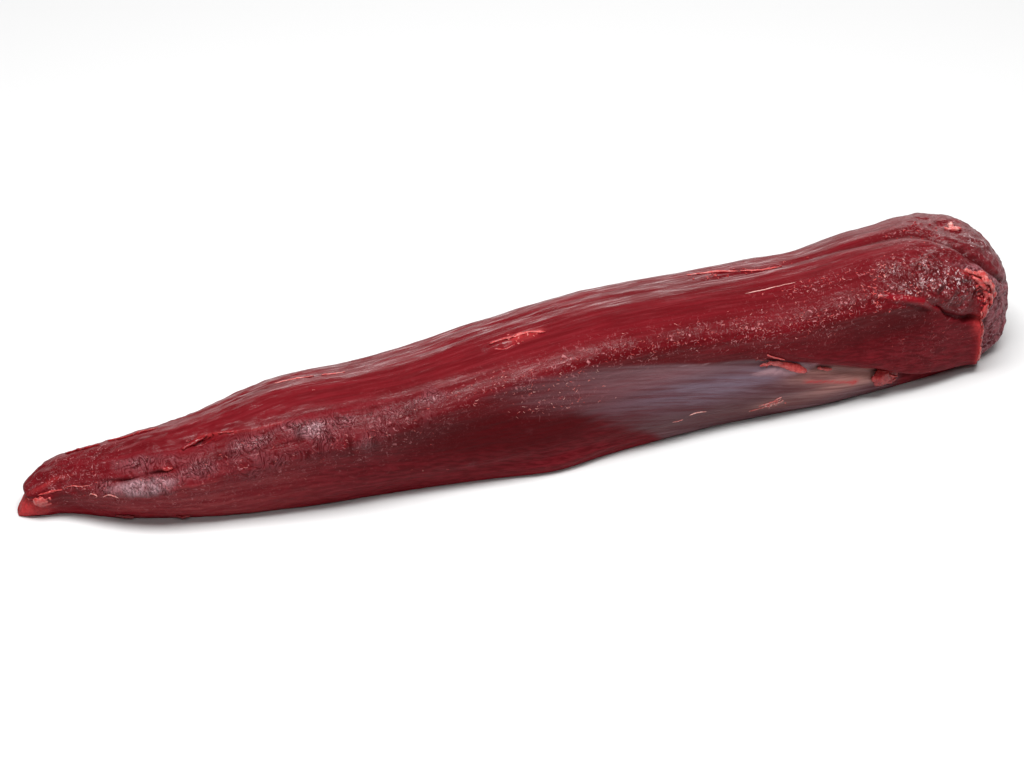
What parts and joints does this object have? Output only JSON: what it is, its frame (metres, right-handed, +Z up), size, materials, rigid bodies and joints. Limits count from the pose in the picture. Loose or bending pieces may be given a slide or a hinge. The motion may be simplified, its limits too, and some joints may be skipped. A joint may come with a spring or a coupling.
{
  "type": "venison tenderloin",
  "caption": "Whole raw tenderloin muscle lying flat: long, deep red and tapered, with a thick lobed head, a patch of silver skin and a thin tail.",
  "frame": {"origin": "on the table, below the middle of the meat", "axes": "+X along the meat from the tail to the head, +Z up, and -Y towards the side with the silver skin"},
  "size_m": [0.3412, 0.0606, 0.0467],
  "materials": {
    "meat": "raw, moist and fibrous, with a satin to wet gloss"
  },
  "bodies": {
    "root": {"tenderloin": "meat"}
  },
  "joints": []
}
